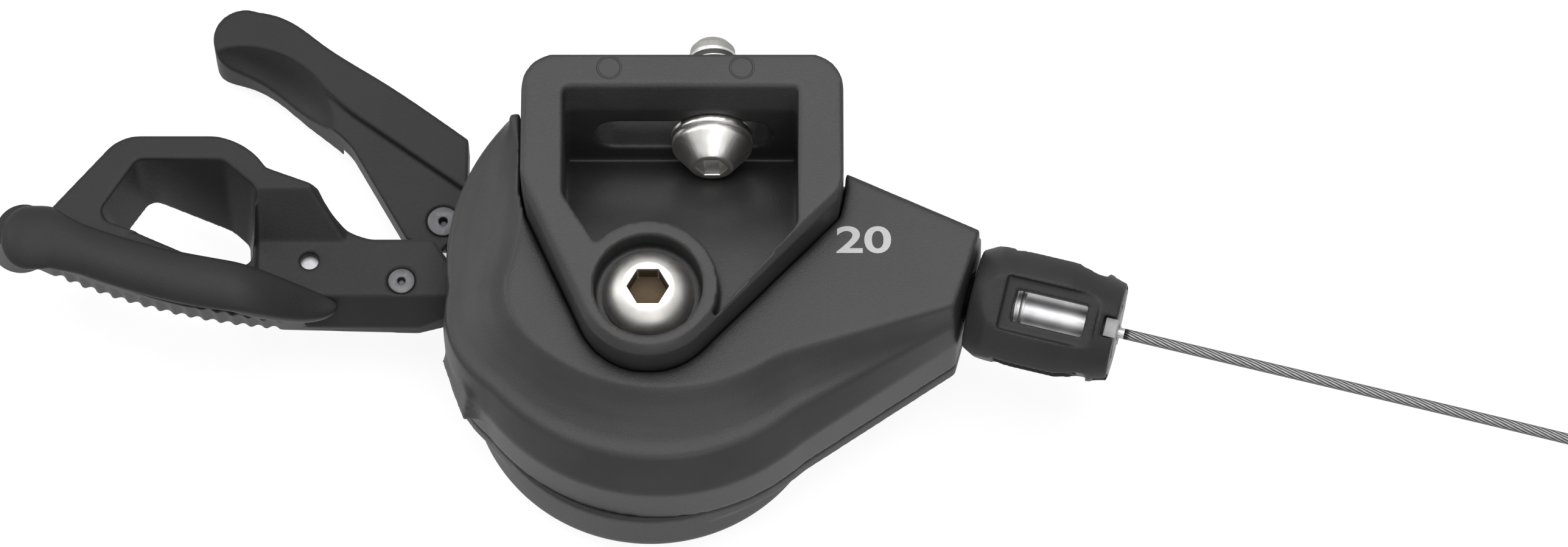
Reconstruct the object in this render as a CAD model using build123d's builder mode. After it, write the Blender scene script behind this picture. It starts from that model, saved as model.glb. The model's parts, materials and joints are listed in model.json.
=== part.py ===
"""Right-hand trigger gear shifter with a clamp bracket, two levers and a wire adjuster.

Millimetres. +Z is the lever pivot, out of the top cover; +X points along the wire outlet;
+Y points to the clamp side. The origin is on the pivot at the flat back of the case.
"""

import os
from math import atan2, cos, degrees, radians, sin

from build123d import *

os.makedirs("parts", exist_ok=True)

# Case heights above the back face
floor_thickness = 2.0
snout_floor_height = 6.8
parting_height = 9.3
crease_height = 16.0
ridge_height = 20.0
plateau_height = 23.5
side_facet_foot = 12.5
side_facet_height = 17.2
side_facet_outline = ((-21.0, 0.6), (-22.9, -2.4), (-20.4, -9.6), (-17.0, -9.0))
side_facet_taper = 12

# How far the ridge and the plateau draw in from the widest outline: belly, left, end, back
ridge_insets = (2.8, 0.5, 0.5, 0.8)
plateau_insets = (9.6, 7.0, 1.3, 1.8)

# Widest case outline in plan
snout_low = (33.6, -1.7)
snout_high = (36.5, 9.4)
back_right = (21.5, 17.2)
back_left = (-11.0, 25.4)
shoulder = (-15.6, 24.2)
left_upper = (-20.8, 16.2)
left_side = (-22.5, 3.0)
left_lower = (-21.4, -5.0)
hip_left = (-17.6, -10.2)
belly = (0.0, -19.6)
hip_right = (16.8, -13.3)
case_back_reach = 20.4
pawl_ring = 14.0
cavity_margin = 2.6
cup_wall = 3.4
cup_edge_round = 3.0
belly_round = 12.0
hip_round = 6.0
scoop_depth = 1.9
scoop_steps = 5
spring_pocket_radius = 8.5

# Clearances
running_clearance = 0.05
slip_clearance = 0.2
loose_clearance = 0.4

# Bracket
boss_radius = 7.9
boss_ring_radius = 7.6
boss_height = 28.5
boss_seat_height = 22.0
bracket_left = -14.0
bracket_right = 21.2
bracket_top = 27.4
bracket_corner = 4.0
flange_height = 28.8
flange_tilt = 6.6
flange_thickness = 5.0
flange_front_thickness = 3.7
flange_lip_drop = 3.2
dish_left = -9.4
dish_right = 16.2
dish_slope = 0.80
dish_floor_height = 25.2
dish_sag = 1.4
dish_floor_thickness = 1.8
dish_corner = 2.5
cover_skin = 1.2
slot_centre = (3.55, 21.3, 20.4)
slot_length = 19.5
slot_width = 5.3

# Fasteners
main_bolt_radius = 2.5
main_head_radius = 4.95
main_head_height = 2.8
main_head_top = 28.0
main_head_rim = 0.5
main_bolt_length = 14.0
main_bolt_tip = 0.6
main_bolt_tip_draw = 0.4
main_tap_depth = 12.0
main_socket = 4.0
socket_depth = 2.2
tapped_clearance = 0.02
head_well_radius = 5.9
clamp_bolt_offset = 3.25
clamp_bolt_radius = 2.5
clamp_shank_radius = 2.05
clamp_bolt_length = 11.7
clamp_head_radius = 4.4
clamp_head_tip_radius = 2.35
clamp_head_height = 3.4
clamp_head_rim = 0.9
clamp_tip_length = 0.8
clamp_tip_draw = 0.7
clamp_socket = 3.0
washer_radius = 4.55
washer_thickness = 0.8
case_screw_radius = 1.0
case_screw_head_radius = 1.6
case_screw_head_height = 1.0
case_screw_length = 12.0
case_screw_ring = 15.4
case_screw_boss = 2.1
case_screw_angles = (255, 345, 60)

# Axle and the stack of pieces on it
axle_radius = 4.0
axle_tip_radius = 3.0
axle_flange_radius = 7.0
axle_flange_thickness = 1.0
axle_shoulder_height = 20.2
release_plate_height = 5.0
release_plate_thickness = 1.2
main_plate_height = 11.5
main_plate_thickness = 1.5
ratchet_height = 13.6
ratchet_thickness = 1.2
drum_height = 15.4
drum_thickness = 2.2
drum_spring_height = 17.8
drum_spring_width = 2.0

# Levers
main_pad_bottom = 8.8
main_pad_top = 18.5
main_root_top = 14.2
thumb_overhang = 2.3
window_corner = 1.4
window_top = ((-61.0, 12.4), (-56.6, 19.4), (-47.2, 19.4), (-43.4, 16.0), (-43.4, 8.2), (-46.4, 6.9))
window_bottom = ((-59.4, 12.8), (-55.6, 18.5), (-46.6, 14.6), (-44.6, 12.8), (-44.4, 9.4), (-46.6, 8.0))
rib_count = 15
rib_radius = 0.7
release_pad_bottom = 1.6
release_pad_top = 7.7
release_dish_length = 19.0
release_dish_depth = 4.6
release_dish_place = (-42.4, 32.2)
release_dish_turn = -36
release_dish_lift = 0.9
release_tip = ((-44.6, 42.4), (-48.6, 41.6), (-49.4, 38.0))
release_near_side = ((-46.0, 35.6), (-38.9, 30.6), (-33.6, 25.8))
release_root = ((-27.4, 14.8), (-23.6, 13.0), (-20.6, 16.8), (-20.6, 26.6))
release_far_side = ((-31.0, 34.2), (-37.2, 38.4))
release_under_cut = ((-15, 40), (-30.5, 33.4), (-35.0, 28.6), (-34.0, 20), (-15, 5))
release_top_cut = ((-40.0, 35.6), (-33.8, 29.9), (-20, 19.8), (-20, 10), (-30, 12), (-40, 28))
release_under_depth = 1.6
release_top_depth = 0.8
release_rivet_place = (-23.3, 16.9)
release_disc_radius = 1.8
release_disc_sink = 1.2
release_arm = ((-2.0, 7.5), (-20.5, 22.5), (-32.0, 32.5), (-34.0, 28.0), (-26.0, 17.2), (-7.6, -1.5))
main_arm = ((-3.0, 7.5), (-20.0, 10.2), (-40.0, 11.6), (-40.0, 5.8), (-20.0, 3.8), (-6.0, -5.0))
main_ear = ((-8.2, 1.5), (-14.8, -5.4), (-10.2, -11.2), (-2.0, -8.0))
arm_corner = 1.5
main_rivet_place = (-27.4, 6.6)
main_disc_radius = 1.5
main_disc_sink = 0.5
disc_thickness = 0.4
sight_hole_place = (-37.6, 9.0)
sight_hole_radius = 1.0
thumb_bar_root = (-41.0, 2.9)
thumb_bar_length = 25.5
thumb_bar_rise = 1.6
thumb_bar_bow = 5.0
loop_root = ((-24.0, 11.6), (-30.6, 11.6))
loop_waist = ((-30.6, 11.6), (-34.0, 13.0), (-36.6, 16.2))
loop_shoulder = ((-42.4, 18.4), (-44.8, 20.9), (-48.4, 22.2))
loop_crown = ((-56.4, 22.2), (-58.6, 21.6), (-60.2, 20.2))
loop_tip = ((-66.4, 12.8), (-70.8, 9.8))
loop_near_root = ((-25.6, 2.4), (-21.8, 3.4), (-21.8, 8.4), (-24.0, 11.6))
lever_inner_end = -15.0
root_step = (-37.4, -33.6)
far_cut_side = 10.6
far_cut = (-58.0, -42.0)
bank_start = -43.4
bank = (11.2, 15.8)
near_cut_start = -38.0
near_cut = (2.4, 4.8)
near_cut_drop = 3.4
rivet_radius = 1.2
pawl_pin_radius = 1.2

# Adjuster and wire
adjuster_start = (36.8, 3.1, 16.5)
adjuster_slope = -14.4
knob_length = 14.8
knob_overlap = 1.4
knob_radius = 7.0
knob_flat = 6.2
knob_window_length = 9.0
knob_window_width = 3.6
adjuster_bolt_radius = 2.5
adjuster_bore = 1.0
wire_radius = 0.6
coil_centre = (143.8, -8.7)
coil_inner_radius = 7.25
coil_outer_radius = 15.85
coil_height = 4.85
coil_step_width = 2.5
coil_step_height = 1.2
coil_lift = 0.7
cap_radius = 1.1
cap_length = 8.0
cap_reach = 9.2

# Worked-out values
thumb_tilt = degrees(atan2(thumb_overhang, main_pad_top - main_pad_bottom))
cavity_radius = pawl_ring + cavity_margin
cup_radius = cavity_radius + cup_wall
wire_x = cos(radians(adjuster_slope))
wire_y = sin(radians(adjuster_slope))
wire_reach = adjuster_start[1] * wire_x - adjuster_start[0] * wire_y
groove_radius = wire_reach - wire_radius
drum_radius = wire_reach + 0.85
adjuster_plane = Plane(adjuster_start, x_dir=(0, 0, 1), z_dir=(wire_x, wire_y, 0))
clamp_plane = Plane(
    slot_centre,
    x_dir=(1, 0, 0),
    z_dir=(0, cos(radians(flange_tilt)), -sin(radians(flange_tilt))),
)
tilt = sin(radians(flange_tilt)) / cos(radians(flange_tilt))
dish_foot = (slot_centre[1] - 0.6, slot_centre[2] - washer_radius - 0.9)
standing = (Align.CENTER, Align.CENTER, Align.MIN)
hanging = (Align.CENTER, Align.CENTER, Align.MAX)


def ring_point(radius, angle):
    """Point at a radius and an angle in degrees about the pivot."""
    return (radius * cos(radians(angle)), radius * sin(radians(angle)))


def flange_inner(height):
    """Y of the flange's inner face at a height."""
    return slot_centre[1] + tilt * (height - slot_centre[2])


def flange_outer(height):
    """Y of the flange's outer face at a height."""
    return flange_inner(height) + flange_thickness / cos(radians(flange_tilt))


screw_spots = [ring_point(case_screw_ring, angle) for angle in case_screw_angles]


def save(piece, label):
    """Label a finished piece and write its STEP file."""
    piece.part.label = label
    export_step(piece.part, f"parts/{label}.step")


def case_outline(height, belly_inset=0.0, left_inset=0.0, end_inset=0.0, back_inset=0.0):
    """Case outline at one height, drawn in from the widest outline by four insets."""
    with BuildSketch(Plane.XY.offset(height)) as outline:
        with BuildLine():
            low = (snout_low[0] - 0.3 * end_inset, snout_low[1] + end_inset)
            high = (snout_high[0] - 0.3 * end_inset, snout_high[1] - 0.6 * end_inset)
            right = (back_right[0], back_right[1] - back_inset)
            left = (back_left[0], back_left[1] - back_inset)
            top = (shoulder[0], shoulder[1] - back_inset)
            side = (left_side[0] + left_inset, left_side[1])
            hip = (hip_left[0] + 0.7 * left_inset, hip_left[1] + 0.6 * belly_inset)
            turn = (hip_right[0] - 0.3 * belly_inset, hip_right[1] + 0.75 * belly_inset)
            Polyline(turn, low, high, right, left, top)
            upper = (left_upper[0] + left_inset, left_upper[1] - 0.4 * left_inset)
            ThreePointArc(top, upper, side)
            lower = (left_lower[0] + left_inset, left_lower[1] + 0.4 * left_inset)
            ThreePointArc(side, lower, hip)
            ThreePointArc(hip, (belly[0], belly[1] + belly_inset), turn)
        make_face()
        fillet(outline.vertices().sort_by_distance(turn)[0], belly_round)
        fillet(outline.vertices().sort_by_distance(hip)[0], hip_round)
    return outline.sketch


def bracket_outline(growth=0.0):
    """Plan of the bracket: round boss, two straight flanks and the flange's rounded corners."""
    with BuildSketch() as outline:
        with BuildLine():
            right_touch = (0.724 * boss_radius, -0.69 * boss_radius)
            left_touch = (-0.911 * boss_radius, -0.413 * boss_radius)
            Polyline(
                right_touch,
                (bracket_right - 0.6, bracket_right - 11.0),
                (bracket_right, bracket_right - 8.0),
                (bracket_right, bracket_top),
                (bracket_left, bracket_top),
                (bracket_left, 13.5),
                (bracket_left + 0.6, 10.4),
                left_touch,
            )
            ThreePointArc(left_touch, (0, -boss_radius), right_touch)
        make_face()
        fillet(outline.vertices().group_by(Axis.Y)[-1], bracket_corner)
        if growth:
            offset(amount=growth)
    return outline.sketch


def underside_points(lowering):
    """Section of the bracket's underside from the boss seat down the slope to the flange foot."""
    foot = (dish_foot[0], dish_foot[1] - dish_floor_thickness - lowering)
    knee_height = boss_seat_height - lowering
    knee = (foot[0] - (knee_height - foot[1]) / dish_slope, knee_height)
    return knee, foot


# Bracket: flanged tray with a round boss
with BuildPart() as bracket:
    knee, foot = underside_points(0.0)
    with BuildSketch(Plane.YZ.offset(bracket_left)):
        with BuildLine():
            Polyline(
                (-boss_radius - 1, boss_seat_height),
                (-boss_radius - 1, boss_height),
                (boss_radius, boss_height),
                (flange_outer(flange_height), flange_height),
                (flange_outer(foot[1]), foot[1]),
                foot,
                knee,
                close=True,
            )
        make_face()
    extrude(amount=bracket_right - bracket_left)
    extrude(bracket_outline(), amount=2 * flange_height, mode=Mode.INTERSECT)
    rim = bracket.faces().sort_by(Axis.Z)[-2:]
    chamfer(rim.edges().filter_by(Axis.Z, reverse=True).group_by(Axis.Y)[0], 0.8)

with BuildPart() as dish:
    with BuildSketch(Plane.YZ.offset(dish_left)):
        with BuildLine():
            lip_height = flange_height - flange_lip_drop
            top_inner = flange_outer(flange_height) - flange_front_thickness
            Spline(
                (-boss_radius, dish_floor_height),
                (boss_radius, dish_floor_height - dish_sag),
                dish_foot,
                tangents=((1, 0), (1, -dish_slope)),
            )
            Polyline(
                dish_foot,
                (flange_inner(lip_height), lip_height),
                (top_inner, flange_height),
                (top_inner, 2 * flange_height),
                (-boss_radius, 2 * flange_height),
                (-boss_radius, dish_floor_height),
            )
        make_face()
    extrude(amount=dish_right - dish_left)
    with BuildSketch() as dish_plan:
        with BuildLine():
            Polyline(
                (dish_left, bracket_top),
                (dish_left, 10.8),
                (dish_left + 4.8, 3.2),
                (0.89 * boss_radius, -0.46 * boss_radius),
                (dish_right, 7.2),
                (dish_right, bracket_top),
                close=True,
            )
        make_face()
        fillet(dish_plan.vertices().group_by(Axis.X)[0], dish_corner)
        fillet(dish_plan.vertices().group_by(Axis.X)[-1], dish_corner)
        Circle(boss_ring_radius, mode=Mode.SUBTRACT)
    extrude(dish_plan.sketch, amount=2 * flange_height, mode=Mode.INTERSECT)

with BuildPart() as bracket_cut:
    add(bracket.part)
    add(dish.part, mode=Mode.SUBTRACT)
    with BuildSketch(Plane.XY.offset(main_head_top - main_head_height)):
        Circle(head_well_radius)
    extrude(amount=main_head_height + 2, mode=Mode.SUBTRACT)
    with Locations((0, 0, boss_seat_height)):
        Cylinder(main_bolt_radius + slip_clearance, 2 * main_head_top, mode=Mode.SUBTRACT)
    with BuildSketch(clamp_plane.offset(-washer_thickness)):
        SlotOverall(slot_length, slot_width)
    extrude(amount=2 * flange_thickness, mode=Mode.SUBTRACT)
save(bracket_cut, "bracket")

# Room for the bracket in the cover
with BuildPart() as bracket_seat:
    knee, foot = underside_points(0.0)
    low_knee, low_foot = underside_points(slip_clearance)
    with BuildSketch(Plane.YZ.offset(bracket_left - slip_clearance)):
        with BuildLine():
            Polyline(
                (-boss_radius - 1, boss_seat_height),
                (-boss_radius - 1, 2 * flange_height),
                (2 * bracket_top, 2 * flange_height),
                (2 * bracket_top, low_foot[1]),
                low_foot,
                (low_knee[0] - slip_clearance, boss_seat_height),
                close=True,
            )
        make_face()
    extrude(amount=bracket_right - bracket_left + 2 * slip_clearance)
    extrude(bracket_outline(slip_clearance), amount=2 * flange_height, mode=Mode.INTERSECT)

# Hollow of the case: round chamber, spring pocket and a sloped ceiling under the bracket
with BuildPart() as chamber:
    with BuildSketch(Plane.XY.offset(floor_thickness)):
        Circle(cavity_radius)
    extrude(amount=ridge_height - cover_skin - 0.4 - floor_thickness)
    with BuildSketch(Plane.XY.offset(floor_thickness)):
        Circle(spring_pocket_radius)
    extrude(amount=boss_seat_height - cover_skin - floor_thickness)
    with BuildSketch(Plane.YZ.offset(-cavity_radius)):
        with BuildLine():
            skin_knee, skin_foot = underside_points(slip_clearance + cover_skin)
            run = 2 * cavity_radius
            Polyline(
                (-run, 0),
                (-run, 2 * flange_height),
                (skin_knee[0] - flange_height, skin_knee[1] + dish_slope * flange_height),
                (skin_foot[0] + run, skin_foot[1] - dish_slope * run),
                close=True,
            )
        make_face()
    extrude(amount=2 * cavity_radius, mode=Mode.INTERSECT)
    for spot in screw_spots:
        with Locations((*spot, 0)):
            Cylinder(case_screw_boss, 4 * flange_height, mode=Mode.SUBTRACT)

# Top cover
with BuildPart() as top_cover:
    extrude(case_outline(parting_height), amount=crease_height - parting_height)
    sections = [case_outline(crease_height)]
    for step in range(scoop_steps):
        share = step / (scoop_steps - 1)
        insets = [low + share * (high - low) for low, high in zip(ridge_insets, plateau_insets)]
        rise = (plateau_height - ridge_height) * share**scoop_depth
        sections.append(case_outline(ridge_height + rise, *insets))
    for lower, upper in zip(sections, sections[1:]):
        loft([lower, upper], ruled=True)
    with BuildSketch(Plane.XY.offset(side_facet_foot)):
        with BuildLine():
            Polyline(*side_facet_outline, close=True)
        make_face()
    extrude(amount=side_facet_height - side_facet_foot, taper=side_facet_taper)
    add(bracket_seat.part, mode=Mode.SUBTRACT)
    with Locations((bracket_left - slip_clearance, case_back_reach, 0)):
        Box(
            bracket_right - bracket_left + 2 * slip_clearance,
            bracket_top,
            4 * flange_height,
            align=(Align.MIN, Align.MIN, Align.CENTER),
            mode=Mode.SUBTRACT,
        )
    add(chamber.part, mode=Mode.SUBTRACT)
    with Locations((0, 0, plateau_height)):
        Cylinder(axle_tip_radius + slip_clearance, plateau_height, mode=Mode.SUBTRACT)
    lever_gate = main_pad_top + loose_clearance
    arm_gate = main_plate_height + main_plate_thickness + loose_clearance
    with Locations((bracket_left - 0.4, left_side[1] - 1.6, 0)):
        Box(
            cup_radius,
            2 * cup_radius,
            lever_gate,
            align=(Align.MAX, Align.MIN, Align.MIN),
            mode=Mode.SUBTRACT,
        )
    with Locations((bracket_left / 2, left_side[1] - 1.6, 0)):
        Box(
            cup_radius,
            2 * cup_radius,
            arm_gate,
            align=(Align.MAX, Align.MIN, Align.MIN),
            mode=Mode.SUBTRACT,
        )
    with BuildSketch(adjuster_plane):
        Circle(adjuster_bolt_radius + running_clearance)
    extrude(amount=-11.0, mode=Mode.SUBTRACT)
    with BuildSketch(adjuster_plane):
        Circle(adjuster_bore + slip_clearance)
    extrude(amount=-adjuster_start[0], mode=Mode.SUBTRACT)
    for spot in screw_spots:
        with Locations((*spot, 0)):
            tap_depth = case_screw_length + 1.5
            Cylinder(case_screw_radius + tapped_clearance, 2 * tap_depth, mode=Mode.SUBTRACT)
save(top_cover, "top_cover")

# Lower case: round cup with the snout's floor
with BuildPart() as lower_case:
    with BuildSketch():
        Circle(cup_radius)
    extrude(amount=parting_height)
    fillet(lower_case.edges().group_by(Axis.Z)[0], cup_edge_round)
    snout = case_outline(snout_floor_height)
    extrude(snout, amount=parting_height - snout_floor_height)
    with Locations((0, case_back_reach, 0)):
        Box(
            8 * cup_radius,
            2 * cup_radius,
            4 * parting_height,
            align=(Align.CENTER, Align.MIN, Align.CENTER),
            mode=Mode.SUBTRACT,
        )
    add(chamber.part, mode=Mode.SUBTRACT)
    for spot in screw_spots:
        with Locations((*spot, 0)):
            Cylinder(case_screw_radius + slip_clearance, 4 * parting_height, mode=Mode.SUBTRACT)
            Cylinder(case_screw_head_radius + slip_clearance, 2.6, mode=Mode.SUBTRACT)
    with Locations((bracket_left / 2, left_side[1] - 1.6, floor_thickness)):
        Box(
            2 * cup_radius,
            2 * cup_radius,
            parting_height,
            align=(Align.MAX, Align.MIN, Align.MIN),
            mode=Mode.SUBTRACT,
        )
save(lower_case, "lower_case")

# Axle: flanged stud with a tapped top for the main bolt
with BuildPart() as axle:
    with BuildSketch(Plane.XZ):
        with BuildLine():
            flange_top = floor_thickness + axle_flange_thickness
            Polyline(
                (0, floor_thickness),
                (axle_flange_radius, floor_thickness),
                (axle_flange_radius, flange_top),
                (axle_radius, flange_top),
                (axle_radius, axle_shoulder_height),
                (axle_tip_radius, axle_shoulder_height),
                (axle_tip_radius, boss_seat_height),
                (0, boss_seat_height),
                close=True,
            )
        make_face()
    revolve(axis=Axis.Z)
    with BuildSketch(Plane.XY.offset(boss_seat_height)):
        Circle(main_bolt_radius + tapped_clearance)
    extrude(amount=-main_tap_depth, mode=Mode.SUBTRACT)
save(axle, "axle")

# Main bolt: button head with a hexagon socket
with BuildPart() as main_bolt:
    seat = main_head_top - main_head_height
    with BuildSketch(Plane.XZ):
        with BuildLine():
            end = seat - main_bolt_length
            Polyline(
                (0, end),
                (main_bolt_radius - main_bolt_tip_draw, end),
                (main_bolt_radius, end + main_bolt_tip),
                (main_bolt_radius, seat),
                (main_head_radius, seat),
                (main_head_radius, seat + main_head_rim),
            )
            ThreePointArc(
                (main_head_radius, seat + main_head_rim),
                (0.84 * main_head_radius, seat + 0.68 * main_head_height),
                (0.55 * main_head_radius, main_head_top),
            )
            Polyline((0.55 * main_head_radius, main_head_top), (0, main_head_top), (0, end))
        make_face()
    revolve(axis=Axis.Z)
    with BuildSketch(Plane.XY.offset(main_head_top)):
        RegularPolygon(main_socket / 2, 6, major_radius=False)
    extrude(amount=-socket_depth, mode=Mode.SUBTRACT)
save(main_bolt, "main_bolt")

# Clamp bolt and washer, which slide together along the slot
bolt_plane = clamp_plane.shift_origin(clamp_plane.from_local_coords((clamp_bolt_offset, 0, 0)))
with BuildPart() as clamp_washer:
    with BuildSketch(bolt_plane):
        Circle(washer_radius)
        Circle(clamp_bolt_radius + 0.1, mode=Mode.SUBTRACT)
    extrude(amount=-washer_thickness)
save(clamp_washer, "clamp_washer")

with BuildPart() as clamp_bolt:
    with BuildSketch(Plane.XZ):
        with BuildLine():
            head_base = -washer_thickness
            Polyline(
                (0, head_base - clamp_head_height),
                (clamp_head_tip_radius, head_base - clamp_head_height),
                (clamp_head_radius, head_base - clamp_head_rim),
                (clamp_head_radius, head_base),
                (clamp_shank_radius, head_base),
                (clamp_shank_radius, flange_thickness + slip_clearance),
                (clamp_bolt_radius, flange_thickness + slip_clearance),
                (clamp_bolt_radius, clamp_bolt_length - clamp_tip_length),
                (clamp_bolt_radius - clamp_tip_draw, clamp_bolt_length),
                (0, clamp_bolt_length),
                close=True,
            )
        make_face()
    revolve(axis=Axis.Z)
    with BuildSketch(Plane.XY.offset(head_base - clamp_head_height)):
        RegularPolygon(clamp_socket / 2, 6, major_radius=False)
    extrude(amount=socket_depth, mode=Mode.SUBTRACT)
with BuildPart() as clamp_bolt_placed:
    add(bolt_plane.location * clamp_bolt.part)
save(clamp_bolt_placed, "clamp_bolt")

# Release lever: steel arm, moulded pad and rivet
with BuildPart() as release_plate:
    with BuildSketch(Plane.XY.offset(release_plate_height)) as release_shape:
        Circle(axle_radius + 4.0)
        with BuildLine():
            Polyline(*release_arm, close=True)
        make_face()
        fillet(release_shape.vertices().group_by(Axis.X)[0], arm_corner)
        Circle(axle_radius + running_clearance, mode=Mode.SUBTRACT)
        with Locations(release_rivet_place):
            Circle(rivet_radius, mode=Mode.SUBTRACT)
    extrude(amount=release_plate_thickness)
save(release_plate, "release_plate")

with BuildPart() as thumb_dish:
    with BuildSketch():
        with BuildLine():
            half_dish = release_dish_length / 2
            Line((-half_dish, 0), (half_dish, 0))
            ThreePointArc((half_dish, 0), (0, release_dish_depth), (-half_dish, 0))
        make_face()
    revolve(axis=Axis.X)

with BuildPart() as release_pad:
    with BuildSketch(Plane.XY.offset(release_pad_bottom)):
        with BuildLine():
            ThreePointArc(*release_tip)
            Spline(release_tip[-1], *release_near_side, tangents=((0.1, -1), (0.6, -0.8)))
            Polyline(release_near_side[-1], *release_root)
            far_points = (release_root[-1], *release_far_side, release_tip[0])
            Spline(*far_points, tangents=((-0.8, 0.6), (-1, 0.1)))
        make_face()
    extrude(amount=release_pad_top - release_pad_bottom)
    with BuildSketch(Plane.XY.offset(release_pad_bottom)):
        with BuildLine():
            Polyline(*release_under_cut, close=True)
        make_face()
    extrude(amount=release_under_depth, mode=Mode.SUBTRACT)
    with BuildSketch(Plane.XY.offset(release_pad_top)):
        with BuildLine():
            Polyline(*release_top_cut, close=True)
        make_face()
    extrude(amount=-release_top_depth, mode=Mode.SUBTRACT)
    dish_place = Pos(*release_dish_place, release_pad_top + release_dish_lift)
    add(dish_place * Rot(0, 0, release_dish_turn) * thumb_dish.part, mode=Mode.SUBTRACT)
    add(release_plate.part, mode=Mode.SUBTRACT)
    with Locations((*release_rivet_place, release_pad_top)):
        Cylinder(rivet_radius, 4 * release_pad_top, mode=Mode.SUBTRACT)
        Cylinder(release_disc_radius + 0.1, 2 * release_disc_sink, mode=Mode.SUBTRACT)
save(release_pad, "release_pad")

with BuildPart() as release_rivet:
    rivet_low = release_pad_bottom + release_under_depth
    rivet_high = release_pad_top - release_disc_sink
    with Locations((*release_rivet_place, rivet_low)):
        Cylinder(rivet_radius, rivet_high - rivet_low, align=standing)
    with Locations((*release_rivet_place, rivet_high)):
        Cylinder(release_disc_radius, disc_thickness, align=standing)
        Cylinder(0.25 * release_disc_radius, 3 * disc_thickness, mode=Mode.SUBTRACT)
save(release_rivet, "release_rivet")

# Main lever: steel arm with an ear for the winding pawl, looped pad and rivet
winding_pawl_angle = 215
winding_pawl_place = ring_point(pawl_ring, winding_pawl_angle)
with BuildPart() as main_plate:
    with BuildSketch(Plane.XY.offset(main_plate_height)) as main_shape:
        Circle(axle_radius + 4.5)
        with BuildLine():
            Polyline(*main_arm, close=True)
        make_face()
        with BuildLine():
            Polyline(*main_ear, close=True)
        make_face()
        fillet(main_shape.vertices().group_by(Axis.X)[0], arm_corner)
        Circle(axle_radius + running_clearance, mode=Mode.SUBTRACT)
        with Locations(winding_pawl_place):
            Circle(pawl_pin_radius, mode=Mode.SUBTRACT)
        with Locations(main_rivet_place):
            Circle(rivet_radius, mode=Mode.SUBTRACT)
    extrude(amount=main_plate_thickness)
save(main_plate, "main_plate")


def thumb_edge(run, under=0.0):
    """Point on the thumb bar's near edge; run goes from 0 at the root to 1 at the tip."""
    rise = thumb_bar_bow * run * run + thumb_bar_rise * run
    return (thumb_bar_root[0] - thumb_bar_length * run, thumb_bar_root[1] - under + rise)


def loop_outline(height, under):
    """Outline of the looped lever at one height; under is how far the thumb face stands out."""
    with BuildSketch(Plane.XY.offset(height)) as outline:
        with BuildLine():
            Polyline(*loop_root)
            ThreePointArc(*loop_waist)
            Polyline(loop_waist[-1], loop_shoulder[0])
            ThreePointArc(*loop_shoulder)
            Polyline(loop_shoulder[-1], loop_crown[0])
            ThreePointArc(*loop_crown)
            Polyline(loop_crown[-1], loop_tip[0])
            far_tip = (loop_tip[1][0], loop_tip[1][1] - under / 2)
            ThreePointArc(loop_tip[0], far_tip, thumb_edge(1.06, under))
            ThreePointArc(thumb_edge(1.06, under), thumb_edge(0.5, under), thumb_edge(0, under))
            Polyline(thumb_edge(0, under), *loop_near_root)
        make_face()
    return outline.sketch


def window_outline(height, points):
    """Opening of the looped lever at one height."""
    with BuildSketch(Plane.XY.offset(height)) as outline:
        with BuildLine():
            Polyline(*points, close=True)
        make_face()
        fillet(outline.vertices(), window_corner)
    return outline.sketch


with BuildPart() as main_pad:
    loft([loop_outline(main_pad_bottom, 0), loop_outline(main_pad_top, thumb_overhang)], ruled=True)
    window_low = window_outline(main_pad_bottom, window_bottom)
    window_high = window_outline(main_pad_top, window_top)
    loft([window_low, window_high], ruled=True, mode=Mode.SUBTRACT)
    with BuildSketch(Plane.XZ):
        with BuildLine():
            Polyline(
                (root_step[0], main_pad_top),
                (root_step[1], main_root_top),
                (lever_inner_end, main_root_top),
                (lever_inner_end, 2 * main_pad_top),
                (root_step[0], 2 * main_pad_top),
                close=True,
            )
        make_face()
    extrude(amount=4 * cup_radius, both=True, mode=Mode.SUBTRACT)
    with BuildSketch(Plane.XZ.offset(-far_cut_side)):
        with BuildLine():
            Polyline(
                (far_cut[0], main_pad_top),
                (far_cut[1], main_root_top),
                (lever_inner_end, main_root_top),
                (lever_inner_end, 2 * main_pad_top),
                (far_cut[0], 2 * main_pad_top),
                close=True,
            )
        make_face()
    extrude(amount=2 * cup_radius, mode=Mode.SUBTRACT)
    with BuildSketch(Plane.YZ.offset(bank_start)):
        with BuildLine():
            Polyline(
                (0, main_root_top),
                (bank[0], main_root_top),
                (bank[1], main_pad_top),
                (bank[1], 2 * main_pad_top),
                (0, 2 * main_pad_top),
                close=True,
            )
        make_face()
    extrude(amount=cup_radius, mode=Mode.SUBTRACT)
    with BuildSketch(Plane.YZ.offset(near_cut_start)):
        with BuildLine():
            low_edge = main_root_top - near_cut_drop
            Polyline(
                (0, low_edge),
                (near_cut[0], low_edge),
                (near_cut[1], main_root_top),
                (0, main_root_top),
                close=True,
            )
        make_face()
    extrude(amount=cup_radius, mode=Mode.SUBTRACT)
    for index in range(rib_count):
        rib_x, rib_y = thumb_edge((index + 0.4) / rib_count)
        with Locations(Location((rib_x, rib_y - 0.3, main_pad_bottom), (thumb_tilt, 0, 0))):
            Cylinder(rib_radius, 3 * (main_pad_top - main_pad_bottom) / 2, mode=Mode.SUBTRACT)
    add(main_plate.part, mode=Mode.SUBTRACT)
    with Locations((*sight_hole_place, main_root_top)):
        sight_depth = main_root_top - main_plate_height - main_plate_thickness
        Cylinder(sight_hole_radius, 2 * sight_depth, mode=Mode.SUBTRACT)
    with Locations((*main_rivet_place, main_root_top)):
        Cylinder(rivet_radius, 4 * main_pad_top, mode=Mode.SUBTRACT)
        Cylinder(main_disc_radius + 0.1, 2 * main_disc_sink, mode=Mode.SUBTRACT)
save(main_pad, "main_pad")

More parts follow.
